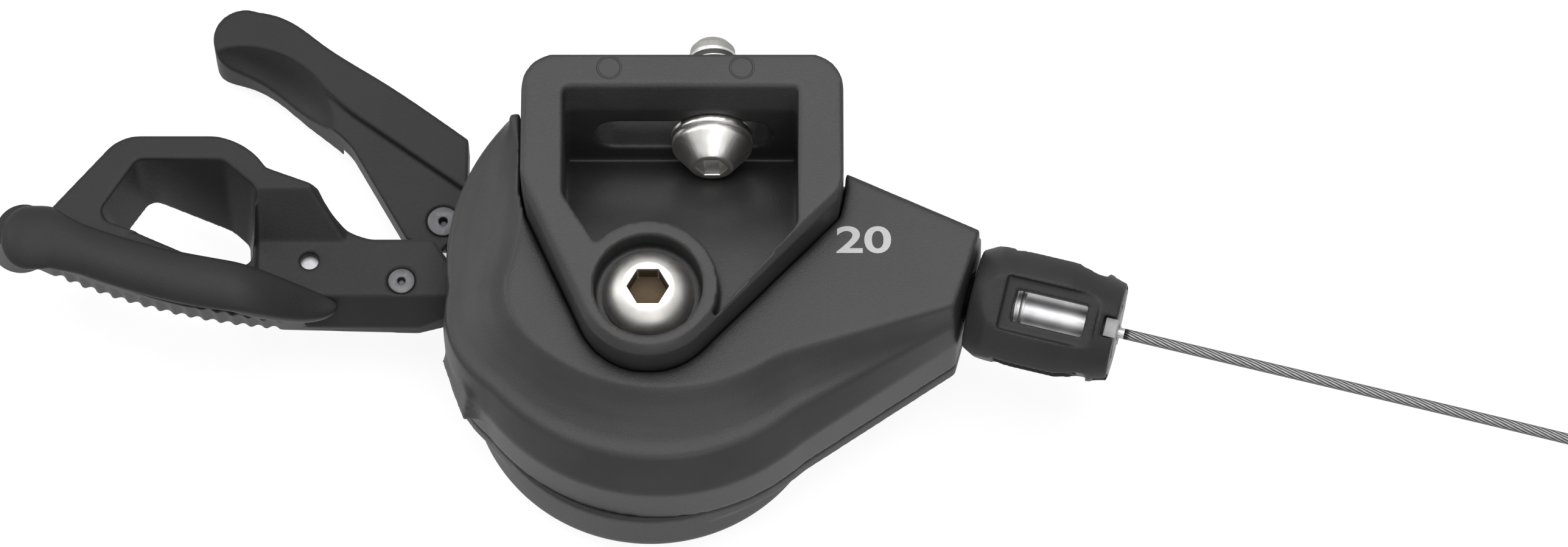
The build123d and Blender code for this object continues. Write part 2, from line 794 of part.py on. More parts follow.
with BuildPart() as main_rivet:
    with Locations((*main_rivet_place, main_pad_bottom)):
        Cylinder(rivet_radius, main_root_top - main_pad_bottom - main_disc_sink, align=standing)
    with Locations((*main_rivet_place, main_root_top - main_disc_sink)):
        Cylinder(main_disc_radius, disc_thickness, align=standing)
        Cylinder(disc_thickness, 2 * disc_thickness, mode=Mode.SUBTRACT)
save(main_rivet, "main_rivet")

# Spacer and washers on the axle
release_top = release_plate_height + release_plate_thickness
main_top = main_plate_height + main_plate_thickness


def axle_ring(low, high, outer):
    """A ring on the axle between two heights."""
    with BuildPart() as ring:
        with BuildSketch(Plane.XY.offset(low)):
            Circle(outer)
            Circle(axle_radius + running_clearance, mode=Mode.SUBTRACT)
        extrude(amount=high - low)
    return ring


lever_spacer = axle_ring(release_top + 0.05, main_plate_height - 0.05, axle_radius + 1.0)
save(lever_spacer, "lever_spacer")
flange_top = floor_thickness + axle_flange_thickness
release_washer = axle_ring(flange_top, release_plate_height - 0.05, axle_radius + 0.9)
save(release_washer, "release_washer")
main_washer = axle_ring(main_top + 0.05, ratchet_height - 0.05, axle_radius + 2.0)
save(main_washer, "main_washer")

# Ratchet wheel and winding drum
tooth_count = 24
tooth_outer = 10.6
tooth_inner = 9.5
tooth_sweep = radians(0.9 * 360 / tooth_count)
with BuildSketch() as tooth:
    with BuildLine():
        Polyline(
            (tooth_inner - 0.4, 0),
            (tooth_outer, 0),
            (tooth_inner * cos(tooth_sweep), tooth_inner * sin(tooth_sweep)),
            close=True,
        )
    make_face()
with BuildPart() as ratchet_wheel:
    with BuildSketch(Plane.XY.offset(ratchet_height)):
        Circle(tooth_inner)
        with PolarLocations(0, tooth_count):
            add(tooth.sketch)
        Circle(axle_radius + running_clearance, mode=Mode.SUBTRACT)
    extrude(amount=ratchet_thickness)
save(ratchet_wheel, "ratchet_wheel")

ratchet_top = ratchet_height + ratchet_thickness
wire_height = adjuster_start[2]
head_angle = 62
head_spot = ring_point(wire_reach - 1.25, 90 + adjuster_slope + head_angle)
with BuildPart() as cable_drum:
    with BuildSketch(Plane.XZ):
        with BuildLine():
            Polyline(
                (axle_radius + running_clearance, ratchet_top),
                (tooth_inner - 1.5, ratchet_top),
                (drum_radius, drum_height),
                (drum_radius, wire_height - wire_radius - 0.1),
                (groove_radius - 0.05, wire_height - wire_radius - 0.1),
                (groove_radius - 0.05, wire_height + wire_radius + 0.1),
                (drum_radius, wire_height + wire_radius + 0.1),
                (drum_radius, drum_height + drum_thickness),
                (axle_radius + running_clearance, drum_height + drum_thickness),
                close=True,
            )
        make_face()
    revolve(axis=Axis.Z)
    with Locations((*head_spot, wire_height)):
        Cylinder(2.15, 4.0, mode=Mode.SUBTRACT)
save(cable_drum, "cable_drum")

with BuildPart() as wire_head:
    with Locations((*head_spot, wire_height)):
        Cylinder(2.1, 2.2)
save(wire_head, "wire_head")

with BuildPart() as wire_wrap:
    with BuildLine() as wrap_path:
        CenterArc((0, 0), wire_reach, 90 + adjuster_slope + 1.5, head_angle - 11.5)
    with BuildSketch(Plane(wrap_path.line @ 0, z_dir=wrap_path.line % 0)):
        Circle(wire_radius)
    sweep()
with BuildPart() as wire_wrap_placed:
    add(Pos(0, 0, wire_height) * wire_wrap.part)
save(wire_wrap_placed, "wire_wrap")

# Pawls on their pins, with noses just clear of the teeth
base_top = floor_thickness + axle_flange_thickness


def pawl(angle, heading):
    """Pawl on the pin ring at an angle; heading is +1 or -1 for the way its nose points."""
    with BuildPart() as shape:
        with BuildSketch(Plane.XY.offset(ratchet_height)):
            with Locations((pawl_ring, 0)):
                Circle(2.0)
            with BuildLine():
                Polyline(
                    (pawl_ring + 1.6, heading * 0.8),
                    (pawl_ring - 0.8, heading * 6.2),
                    (tooth_outer + 0.5, heading * 4.4),
                    (pawl_ring - 1.9, heading * 0.4),
                    close=True,
                )
            make_face()
            with Locations((pawl_ring, 0)):
                Circle(pawl_pin_radius + running_clearance, mode=Mode.SUBTRACT)
        extrude(amount=ratchet_thickness)
    with BuildPart() as placed:
        add(Rot(0, 0, angle) * shape.part)
    return placed


holding_pawl_angle = 300
holding_pawl_place = ring_point(pawl_ring, holding_pawl_angle)
save(pawl(winding_pawl_angle, -1), "winding_pawl")
save(pawl(holding_pawl_angle, -1), "holding_pawl")


def pin(place, low, high, collar_low=None):
    """Pawl pin between two heights, with a collar below the pawl when asked for."""
    with BuildPart() as post:
        with Locations((*place, low)):
            Cylinder(pawl_pin_radius, high - low, align=standing)
        if collar_low is not None:
            with Locations((*place, collar_low)):
                Cylinder(1.5 * pawl_pin_radius, ratchet_height - 0.1 - collar_low, align=standing)
    return post


save(pin(winding_pawl_place, main_plate_height, ratchet_top + 0.3, main_top), "winding_pawl_pin")
save(pin(holding_pawl_place, floor_thickness, ratchet_top + 0.3, floor_thickness), "holding_pawl_pin")

# Flat spiral spring that unwinds the drum, made of half turns
with BuildPart() as drum_spring:
    with BuildSketch(Plane.XY.offset(drum_spring_height)):
        with BuildLine() as spiral:
            start = axle_radius + 0.6
            grow = 0.9
            half_turns = 4
            for index in range(half_turns):
                side = 1 if index % 2 == 0 else -1
                here = (side * (start + grow * index / 2), 0)
                there = (-side * (start + grow * (index + 1) / 2), 0)
                reach = (start + grow * (index + 0.5) / 2) * side
                ThreePointArc(here, ((here[0] + there[0]) / 2, reach), there)
        trace(spiral.line, line_width=0.36)
    extrude(amount=drum_spring_width)
save(drum_spring, "drum_spring")


def coil_spring(low, radius, wire, turns, pitch):
    """Wire coil on the axle."""
    with BuildPart() as coil:
        with BuildLine() as path:
            Helix(pitch, pitch * turns, radius, center=(0, 0, low))
        with BuildSketch(Plane(path.line @ 0, z_dir=path.line % 0)):
            Circle(wire)
        sweep()
    return coil


save(coil_spring(release_top + 0.8, axle_radius + 2.2, 0.5, 3, 1.2), "main_lever_spring")
save(coil_spring(base_top + 0.6, axle_radius + 1.9, 0.35, 1, 0.8), "release_lever_spring")

# Case screws from the back
with BuildPart() as case_screws:
    for spot in screw_spots:
        with Locations((*spot, 1.3)):
            Cylinder(case_screw_head_radius, case_screw_head_height, align=hanging)
            Cylinder(case_screw_radius, case_screw_length, align=standing)
save(case_screws, "case_screws")

# Adjuster knob: barrel with four flats, windows and end notches
with BuildPart() as knob_shape:
    with BuildSketch(Plane.XZ):
        with BuildLine():
            Polyline(
                (3.2, -knob_overlap),
                (5.4, -knob_overlap),
                (knob_radius - 0.3, 1.0),
                (knob_radius, 4.0),
                (knob_radius, 9.0),
                (knob_radius - 1.5, knob_length),
                (3.4, knob_length),
                (3.4, 2.4),
                (3.2, 2.4),
                close=True,
            )
        make_face()
    revolve(axis=Axis.Z)
    with BuildSketch() as flats:
        Rectangle(2 * knob_flat, 2 * knob_flat)
        fillet(flats.vertices(), 1.5)
    extrude(flats.sketch, amount=2 * knob_length, both=True, mode=Mode.INTERSECT)
    with PolarLocations(knob_flat, 4):
        with Locations((0, 0, 7.4)):
            Box(1.4, 6.0, 10.4, mode=Mode.SUBTRACT)
            Box(2 * knob_flat, knob_window_width, knob_window_length - 1.0, mode=Mode.SUBTRACT)
        with Locations((0, 0, knob_length)):
            Box(2 * knob_flat, 2.4, 3.0, mode=Mode.SUBTRACT)
with BuildPart() as adjuster_knob:
    add(adjuster_plane.location * Rot(0, 0, 19) * knob_shape.part)
save(adjuster_knob, "adjuster_knob")

# Adjuster bolt: thread, shank and a cross-shaped end keyed in the knob's notches
with BuildPart() as bolt_shape:
    with BuildSketch(Plane.XZ):
        with BuildLine():
            Polyline(
                (adjuster_bore, -9.0),
                (adjuster_bolt_radius, -9.0),
                (adjuster_bolt_radius, 4.4),
                (adjuster_bolt_radius - 0.3, 4.4),
                (adjuster_bolt_radius - 0.3, knob_length - 1.2),
                (3.1, knob_length - 1.2),
                (3.1, knob_length + 0.1),
                (adjuster_bore, knob_length + 0.1),
                close=True,
            )
        make_face()
    revolve(axis=Axis.Z)
    with PolarLocations(0, 4):
        with Locations((2.9, 0, knob_length - 0.55)):
            Box(1.8, 2.0, 1.3, align=(Align.MIN, Align.CENTER, Align.CENTER))
with BuildPart() as adjuster_bolt:
    add(adjuster_plane.location * Rot(0, 0, 19) * bolt_shape.part)
save(adjuster_bolt, "adjuster_bolt")

# Wire: straight inner run, free stretch, coil, tie and end cap
exit_run = knob_length + 0.8
with BuildPart() as wire_inside:
    inner_length = adjuster_start[0] * wire_x + adjuster_start[1] * wire_y
    with BuildSketch(adjuster_plane.offset(exit_run)):
        Circle(wire_radius)
    extrude(amount=-(exit_run + inner_length))
save(wire_inside, "wire_inside")

coil_turn_radius = coil_outer_radius - 0.65
wire_exit = adjuster_plane.from_local_coords((0, 0, exit_run))
touch_down = (
    coil_centre[0] + coil_turn_radius * wire_y,
    coil_centre[1] - coil_turn_radius * wire_x,
    coil_lift + wire_radius,
)
wire_route = [
    (wire_exit.X, wire_exit.Y, wire_exit.Z),
    (104.0, -14.15, 16.5),
    (112.0, -16.2, 15.2),
    (119.5, -18.1, 11.2),
    (127.0, -20.1, 5.2),
    (134.0, -21.9, 1.7),
    touch_down,
]
with BuildPart() as wire_free:
    with BuildLine() as route:
        radii = []
        for before, corner, after in zip(wire_route, wire_route[1:], wire_route[2:]):
            first = Vector(*corner) - Vector(*before)
            second = Vector(*after) - Vector(*corner)
            half_turn = radians(first.get_angle(second)) / 2
            radii.append(0.45 * min(first.length, second.length) * cos(half_turn) / sin(half_turn))
        FilletPolyline(*wire_route, radius=radii)
    with BuildSketch(Plane(route.line @ 0, z_dir=route.line % 0)):
        Circle(wire_radius)
    sweep()
save(wire_free, "wire_free")

coil_top = coil_lift + coil_height
with BuildPart() as wire_coil:
    with BuildSketch(Plane.XZ):
        with Locations(((coil_inner_radius + coil_outer_radius) / 2, coil_lift + coil_height / 2)):
            RectangleRounded(coil_outer_radius - coil_inner_radius, coil_height, wire_radius)
        with Locations((coil_outer_radius - coil_step_width / 2, coil_top)):
            RectangleRounded(coil_step_width, 2 * coil_step_height, wire_radius)
    revolve(axis=Axis.Z)
with BuildPart() as wire_coil_placed:
    add(Pos(*coil_centre, 0) * wire_coil.part)
save(wire_coil_placed, "wire_coil")

cap_start = Vector(
    coil_centre[0] + cap_reach * wire_y,
    coil_centre[1] - cap_reach * wire_x,
    coil_top + cap_radius + 0.01,
)
cap_plane = Plane(cap_start, x_dir=(0, 0, 1), z_dir=(wire_x, wire_y, 0))
with BuildPart() as wire_cap:
    with BuildSketch(cap_plane):
        Circle(cap_radius)
    extrude(amount=cap_length)
    with BuildSketch(cap_plane):
        Circle(wire_radius + 0.02)
    extrude(amount=cap_length / 2, mode=Mode.SUBTRACT)
save(wire_cap, "wire_cap")

tie_gap = 0.2
tie_thickness = 0.5
tie_bottom = coil_lift - tie_gap
tie_top = coil_top + coil_step_height + tie_gap
with BuildPart() as wire_tie:
    with BuildSketch(Plane.XZ):
        with Locations(
            ((coil_inner_radius + coil_outer_radius) / 2, (tie_bottom + tie_top) / 2)
        ):
            across = coil_outer_radius - coil_inner_radius + 2 * tie_gap
            RectangleRounded(
                across + 2 * tie_thickness, tie_top - tie_bottom + 2 * tie_thickness, 1.2
            )
            RectangleRounded(across, tie_top - tie_bottom, 0.7, mode=Mode.SUBTRACT)
    extrude(amount=1.4, both=True)
with BuildPart() as wire_tie_placed:
    add(Pos(*coil_centre, 0) * Rot(0, 0, 20) * wire_tie.part)
save(wire_tie_placed, "wire_tie")
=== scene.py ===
"""Trigger gear shifter: finishes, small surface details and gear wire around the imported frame."""

import functools
import json
import math

import bmesh
import bpy
import numpy as np
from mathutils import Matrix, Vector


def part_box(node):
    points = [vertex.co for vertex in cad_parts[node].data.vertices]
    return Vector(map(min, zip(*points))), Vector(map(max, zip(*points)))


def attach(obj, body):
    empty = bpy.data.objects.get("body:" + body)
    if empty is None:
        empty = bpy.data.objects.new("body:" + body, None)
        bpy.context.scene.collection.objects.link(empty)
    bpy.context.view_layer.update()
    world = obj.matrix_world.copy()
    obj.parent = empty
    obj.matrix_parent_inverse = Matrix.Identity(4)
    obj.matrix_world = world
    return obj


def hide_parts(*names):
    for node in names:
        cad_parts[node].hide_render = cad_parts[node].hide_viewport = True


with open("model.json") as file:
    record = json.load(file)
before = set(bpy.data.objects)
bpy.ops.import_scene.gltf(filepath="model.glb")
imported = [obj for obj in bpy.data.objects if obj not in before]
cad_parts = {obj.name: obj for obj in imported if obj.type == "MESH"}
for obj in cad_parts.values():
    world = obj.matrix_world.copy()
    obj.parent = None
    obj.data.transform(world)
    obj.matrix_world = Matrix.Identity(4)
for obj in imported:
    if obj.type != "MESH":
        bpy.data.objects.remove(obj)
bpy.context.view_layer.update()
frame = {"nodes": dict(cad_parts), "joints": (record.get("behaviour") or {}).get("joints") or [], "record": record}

bl_info = {
    "name": "Trigger gear shifter",
    "version": (1, 0, 0),
    "blender": (4, 5, 0),
    "location": "View3D > Sidebar > Shifter",
    "description": "Dresses a trigger gear shifter and sets up its studio",
    "category": "Object",
}

MM = 0.001


def joint_line(name):
    """Point and axis of a joint of the frame, as arrays in metres."""
    joint = next(j for j in frame["joints"] if j["name"] == name)
    return np.array(joint.get("pos_m", (0, 0, 0)), float), np.array(joint["axis"], float)


def mount_line(name):
    """Point and axis of a mount of the frame, as arrays in metres."""
    mount = next(m for m in frame["record"]["mounts"] if m["name"] == name)
    return np.array(mount["pos_m"], float), np.array(mount["axis"], float)


KNOB_FOOT, KNOB_AXIS = joint_line("knob_turn")
BOLT_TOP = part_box("main_bolt")[1][2]
CLAMP_END, CLAMP_AXIS = mount_line("clamp_bolt_end")


class ShifterSizes(bpy.types.PropertyGroup):
    """Sizes of the finishing pieces."""

    fastener_round: bpy.props.FloatProperty(
        name="Fastener round",
        description="Round on the edges of bolts, washers and rivets",
        default=0.15 * MM,
        unit="LENGTH",
    )
    wire_diameter: bpy.props.FloatProperty(
        name="Wire diameter",
        description="Thickness of the gear wire",
        default=1.2 * MM,
        unit="LENGTH",
    )
    strand_pitch: bpy.props.FloatProperty(
        name="Strand pitch",
        description="Length of wire in which its strands go round once",
        default=13.0 * MM,
        unit="LENGTH",
    )
    numeral_height: bpy.props.FloatProperty(
        name="Numeral height",
        description="Height of the printed numeral",
        default=3.2 * MM,
        unit="LENGTH",
    )
    thread_pitch: bpy.props.FloatProperty(
        name="Thread pitch",
        description="Pitch of the threads on the clamp bolt and the adjuster",
        default=0.8 * MM,
        unit="LENGTH",
    )


class ShifterColours(bpy.types.PropertyGroup):
    """Colours of the finishes."""

    resin: bpy.props.FloatVectorProperty(
        name="Resin",
        description="Moulded black of case, bracket and levers",
        default=(0.021, 0.0205, 0.0205),
        size=3,
        subtype="COLOR",
        min=0,
        max=1,
    )
    steel: bpy.props.FloatVectorProperty(
        name="Steel",
        description="Plated steel of the bolts",
        default=(0.66, 0.65, 0.63),
        size=3,
        subtype="COLOR",
        min=0,
        max=1,
    )
    rivet: bpy.props.FloatVectorProperty(
        name="Rivet",
        description="Burnished steel of rivets and case screws",
        default=(0.10, 0.10, 0.105),
        size=3,
        subtype="COLOR",
        min=0,
        max=1,
    )
    plate: bpy.props.FloatVectorProperty(
        name="Plate",
        description="Stamped steel of arms, ratchet and pawls",
        default=(0.26, 0.26, 0.27),
        size=3,
        subtype="COLOR",
        min=0,
        max=1,
    )
    turned: bpy.props.FloatVectorProperty(
        name="Turned steel",
        description="Axle, washers, pins and the wire inside",
        default=(0.50, 0.50, 0.50),
        size=3,
        subtype="COLOR",
        min=0,
        max=1,
    )
    spring: bpy.props.FloatVectorProperty(
        name="Spring",
        description="Spring steel",
        default=(0.33, 0.33, 0.34),
        size=3,
        subtype="COLOR",
        min=0,
        max=1,
    )
    alloy: bpy.props.FloatVectorProperty(
        name="Alloy",
        description="Adjuster bolt and wire cap",
        default=(0.72, 0.72, 0.73),
        size=3,
        subtype="COLOR",
        min=0,
        max=1,
    )
    wire: bpy.props.FloatVectorProperty(
        name="Wire",
        description="Stainless gear wire",
        default=(0.21, 0.21, 0.21),
        size=3,
        subtype="COLOR",
        min=0,
        max=1,
    )
    print_grey: bpy.props.FloatVectorProperty(
        name="Print",
        description="Printed numeral on the cover",
        default=(0.52, 0.52, 0.52),
        size=3,
        subtype="COLOR",
        min=0,
        max=1,
    )


RAYS_THAT_SEE = ("Camera", "Glossy", "Transmission")


class Socket:
    """A shader output that takes part in arithmetic; each operation adds a Math node."""

    def __init__(self, shader, link):
        self.shader = shader
        self.link = link

    def math(self, operation, *values):
        """Math node with this and other values as its inputs."""
        inputs = dict(enumerate(values))
        return self.shader.node("ShaderNodeMath", {"operation": operation}, inputs)

    def __add__(self, other):
        return self.math("ADD", self, other)

    __radd__ = __add__

    def __sub__(self, other):
        return self.math("SUBTRACT", self, other)

    def __rsub__(self, other):
        return self.math("SUBTRACT", other, self)

    def __mul__(self, other):
        return self.math("MULTIPLY", self, other)

    __rmul__ = __mul__

    def __pow__(self, other):
        return self.math("POWER", self, other)

    def sine(self):
        """Sine of this value in radians."""
        return self.math("SINE", self)

    def between(self, low, high):
        """This value mapped from low..high to 0..1 and held there."""
        return self.shader.node(
            "ShaderNodeMapRange",
            {"clamp": True, "interpolation_type": "SMOOTHSTEP"},
            {"Value": self, "From Min": low, "From Max": high},
        )


class Nodes:
    """A node tree built from Python expressions."""

    def __init__(self, tree):
        self.tree = tree

    def fill(self, node, values):
        """Set or link a node's inputs by name or number."""
        for key, value in values.items():
            if isinstance(value, Socket):
                self.tree.links.new(value.link, node.inputs[key])
            else:
                node.inputs[key].default_value = value

    def node(self, kind, settings=None, inputs=None, output=0):
        """Add a node, set it, fill its inputs and return one of its outputs."""
        node = self.tree.nodes.new(kind)
        for key, value in (settings or {}).items():
            setattr(node, key, value)
        self.fill(node, inputs or {})
        return Socket(self, node.outputs[output])

    def seen(self):
        """1 for rays of the camera, of mirrors and of clear materials; 0 for those that light."""
        path = self.node("ShaderNodeLightPath").link.node
        kinds = [Socket(self, path.outputs[f"Is {kind} Ray"]) for kind in RAYS_THAT_SEE]
        return functools.reduce(lambda one, other: one.math("MAXIMUM", one, other), kinds)


class Shader(Nodes):
    """A material with one principled surface."""

    def __init__(self, name):
        self.material = bpy.data.materials.new(name)
        self.material.use_nodes = True
        super().__init__(self.material.node_tree)
        self.surface = self.tree.nodes["Principled BSDF"]
        self.output = self.tree.nodes["Material Output"]

    def place(self):
        """Object coordinates of the piece."""
        return self.node("ShaderNodeTexCoord", output="Object")

    def split(self, vector):
        """The three parts of a vector."""
        parts = self.node("ShaderNodeSeparateXYZ", {}, {0: vector}).link.node
        return [Socket(self, output) for output in parts.outputs]

    def noise(self, size, detail=2.0, where=None):
        """Noise whose blotches are about that size, in metres."""
        return self.node(
            "ShaderNodeTexNoise",
            {},
            {"Vector": where or self.place(), "Scale": 1 / size, "Detail": detail},
        )

    def colour(self, value):
        """A colour as a node input: a shader output as it is, three numbers with full alpha."""
        return value if isinstance(value, Socket) else (*value, 1)

    def blend(self, share, low, high):
        """Colour between low and high."""
        return self.node(
            "ShaderNodeMix",
            {"data_type": "RGBA"},
            {"Factor": share, 6: self.colour(low), 7: self.colour(high)},
            output=2,
        )

    def bump(self, height, depth, strength=1.0):
        """Normal of a height field; depth is its full height in metres."""
        return self.node(
            "ShaderNodeBump", {}, {"Height": height, "Distance": depth, "Strength": strength}
        )


PIN_MARKS = (-4.4 * MM, 10.1 * MM)
PIN_BACK = 25.65 * MM
PIN_RADIUS = 1.27 * MM
PIN_LOW = 28.0 * MM
PIN_TOP = 28.4 * MM


def pin_marks(shader):
    """Height field with a shallow ring round each place where the mould's pins pushed."""
    x, y, z = shader.split(shader.place())
    total = 0
    for across in PIN_MARKS:
        reach = ((x - across) ** 2 + (y - PIN_BACK) ** 2) ** 0.5
        off_rim = (reach - PIN_RADIUS).math("ABSOLUTE", reach - PIN_RADIUS)
        total = total + (1 - off_rim.between(0.04 * MM, 0.16 * MM)) * z.between(PIN_LOW, PIN_TOP)
    return total


def resin(name, tone=1.0, gloss=0.46, sheen=0.32, marks=None):
    """Moulded black resin: fine grain, slight cloudiness, small gloss changes and any marks."""
    colour = [tone * c for c in bpy.context.scene.shifter_colours.resin]
    shader = Shader(name)
    fine = shader.noise(0.22 * MM, 1.0)
    cloud = shader.noise(9 * MM, 3.0)
    lighter = [1.35 * c for c in colour]
    shader.fill(
        shader.surface,
        {
            "Base Color": shader.blend(cloud.between(0.3, 0.7), colour, lighter),
            "Roughness": gloss + 0.10 * (cloud - 0.5) + 0.12 * (fine - 0.5),
            "Normal": shader.bump(fine - 4 * marks(shader) if marks else fine, 0.035 * MM, 0.7),
            "Specular IOR Level": sheen,
        },
    )
    return shader.material


# Painted shade on the main bolt: dark in its socket, as in a shaded hollow, and partly dark on its crown, for
# dimmer reflections.
SOCKET_EDGE = (2.2 * MM, 2.35 * MM)
SOCKET_MOUTH = (BOLT_TOP - 0.5 * MM, BOLT_TOP - 0.1 * MM)
RING_EDGE = (2.75 * MM, 2.9 * MM)
CROWN_SHADE = 0.26
# Painted shade on the adjuster: its neck in the gap at the knob's foot, and its end.
NECK_EDGE = (-0.6 * MM, -0.4 * MM)
BARREL_END = (12.6 * MM, 12.9 * MM)
# Painted shade on the clamp bolt: its thread valleys and its tip; END_SHADE also dims the adjuster's end.
THREAD_START = (-3.4 * MM, -3.2 * MM)
THREAD_CREST = (2.50 * MM, 2.60 * MM)
THREAD_TIP = (1.9 * MM, 2.1 * MM)
END_SHADE = 0.6
# Dark colours that the painted shade blends toward.
SOCKET_SHADE_COLOUR = (0.1, 0.075, 0.05)
THREAD_SHADE_COLOUR = (0.07, 0.07, 0.065)
NECK_SHADE_COLOUR = (0.008, 0.008, 0.008)


def socket_shade(shader):
    """Painted shade on the main bolt: 1 in its socket, 0 on the flat ring round it, part on the head's crown."""
    x, y, z = shader.split(shader.place())
    off_axis = (x**2 + y**2) ** 0.5
    inside = 1 - off_axis.between(*SOCKET_EDGE)
    crown = off_axis.between(*RING_EDGE)
    return inside * (1 - z.between(*SOCKET_MOUTH)) + CROWN_SHADE * crown


def neck_shade(shader):
    """Painted shade on the adjuster: 1 on its neck in the gap between the case and the knob, 0 in the knob, part
    at its end.
    """
    x, y, _ = shader.split(shader.place())
    run = (x - KNOB_FOOT[0]) * KNOB_AXIS[0] + (y - KNOB_FOOT[1]) * KNOB_AXIS[1]
    return 1 - run.between(*NECK_EDGE) + END_SHADE * run.between(*BARREL_END)


def thread_shade(shader):
    """Painted shade on the clamp bolt: 1 between the crests of its thread, 0 on them, part at the bolt's tip."""
    parts = zip(shader.split(shader.place()), CLAMP_END, CLAMP_AXIS)
    offsets = [(part - end, way) for part, end, way in parts]
    along = sum(offset * way for offset, way in offsets)
    off_axis = (sum(offset**2 for offset, _ in offsets) - along**2) ** 0.5
    started = along.between(*THREAD_START)
    tip = along.between(*THREAD_TIP)
    return (1 - off_axis.between(*THREAD_CREST)) * started * (1 - tip) + END_SHADE * tip


def metal(name, colour, roughness=0.26, scratch=0.35 * MM, shade=None, painted_shade_colour=SOCKET_SHADE_COLOUR):
    """Plated or turned metal: fine scratches, a little dulling and painted shade on any part that a shade mask
    picks out.
    """
    shader = Shader(name)
    fine = shader.noise(scratch, 2.0)
    cloud = shader.noise(3 * MM, 2.0)
    darker = [0.82 * c for c in colour]
    tint = shader.blend(cloud.between(0.35, 0.65), darker, colour)
    gloss = roughness + 0.12 * (fine - 0.5) + 0.08 * (cloud - 0.5)
    # Painted shade: the mask blends the colour toward a dark colour and roughens the metal there.
    if shade:
        depth = shade(shader)
        tint = shader.blend(depth, tint, painted_shade_colour)
        gloss = gloss + 0.25 * depth
    shader.fill(
        shader.surface,
        {
            "Base Color": tint,
            "Metallic": 1.0,
            "Roughness": gloss,
            "Normal": shader.bump(fine, 0.003 * MM, 0.3),
        },
    )
    return shader.material


def stranded(name, colour, strands=12):
    """Stranded wire: grooves go round it along its UV map, u metres along and v turns round."""
    sizes = bpy.context.scene.shifter_sizes
    shader = Shader(name)
    run, turn, _ = shader.split(shader.node("ShaderNodeUVMap", {"uv_map": "strand"}))
    wave = (2 * math.pi * (strands * turn - run * (strands / sizes.strand_pitch))).sine()
    groove = wave * 0.5 + 0.5
    # Painted shade: the grooves between the strands take a darker colour.
    painted_shade_colour = [0.22 * c for c in colour]
    shader.fill(
        shader.surface,
        {
            "Base Color": shader.blend(groove.between(0.05, 0.7), painted_shade_colour, colour),
            "Metallic": 1.0,
            "Roughness": 0.42 - 0.12 * groove,
            "Normal": shader.bump(groove, 0.05 * MM, 0.9),
        },
    )
    return shader.material


def ink(name, colour):
    """Printed ink with slight unevenness."""
    shader = Shader(name)
    patch = shader.noise(0.4 * MM, 2.0)
    shader.fill(
        shader.surface,
        {
            "Base Color": shader.blend(patch, [0.85 * c for c in colour], colour),
            "Roughness": 0.45 + 0.2 * patch,
        },
    )
    return shader.material


def new_piece(name, points, faces, material, body, smooth=True):
    """Mesh piece from arrays of points and faces, riding on a body."""
    mesh = bpy.data.meshes.new(name)
    mesh.from_pydata(points.tolist(), [], faces.tolist())
    mesh.polygons.foreach_set("use_smooth", np.full(len(mesh.polygons), smooth))
    mesh.materials.append(material)
    mesh.update()
    piece = bpy.data.objects.new(name, mesh)
    bpy.context.collection.objects.link(piece)
    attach(piece, body)
    return piece


def grid_faces(rows, columns, closed):
    """Quads between neighbouring rows of a grid; closed joins the last column to the first."""
    row, column = np.meshgrid(
        np.arange(rows - 1), np.arange(columns if closed else columns - 1), indexing="ij"
    )
    after = (column + 1) % columns
    quads = (row * columns + column, row * columns + after)
    quads += ((row + 1) * columns + after, (row + 1) * columns + column)
    return np.stack(quads, axis=-1).reshape(-1, 4)


def full_turn(count):
    """That many even angles of one turn."""
    return np.linspace(0, 2 * np.pi, count, endpoint=False)


def axis_frame(axis):
    """Two unit vectors square to an axis and to each other."""
    axis = np.asarray(axis, float) / np.linalg.norm(axis)
    helper = np.array((0.0, 0.0, 1.0)) if abs(axis[2]) < 0.9 else np.array((1.0, 0.0, 0.0))
    side = np.cross(helper, axis)
    side /= np.linalg.norm(side)
    return axis, side, np.cross(axis, side)


THREAD_RADIUS = 2.62 * MM
CLAMP_THREAD = (-2.75 * MM, 2.1 * MM)
CLAMP_THREAD_DEPTH = 0.4 * MM
ADJUSTER_THREAD = (0.1 * MM, 4.35 * MM)
ADJUSTER_THREAD_DEPTH = 0.3 * MM


def thread_surface(foot, axis, ends, radius, pitch, depth, around=32, per_pitch=8):
    """Threaded rod: radius - depth * triangle wave of (distance / pitch - angle / turn)."""
    axis, side, up = axis_frame(axis)
    start, end = ends
    rows = max(4, int((end - start) / pitch * per_pitch))
    run, angle = np.meshgrid(np.linspace(start, end, rows), full_turn(around), indexing="ij")
    phase = (run / pitch - angle / (2 * np.pi)) % 1.0
    edge = np.clip(np.minimum(run - start, end - run) / pitch, 0, 1)
    reach = radius - depth * (1 - np.abs(2 * phase - 1)) * edge
    points = (
        np.asarray(foot)
        + run[..., None] * axis
        + (reach * np.cos(angle))[..., None] * side
        + (reach * np.sin(angle))[..., None] * up
    )
    return points.reshape(-1, 3), grid_faces(rows, around, True)


def body_of_node(node):
    """Name of the body that holds a node."""
    bodies = frame["record"]["behaviour"]["bodies"]
    return next(name for name, nodes in bodies.items() if node in nodes)


SEAM = 0.002 * MM
FLAT_ANGLE = math.radians(0.6)
CORNER_ANGLE = math.radians(28)


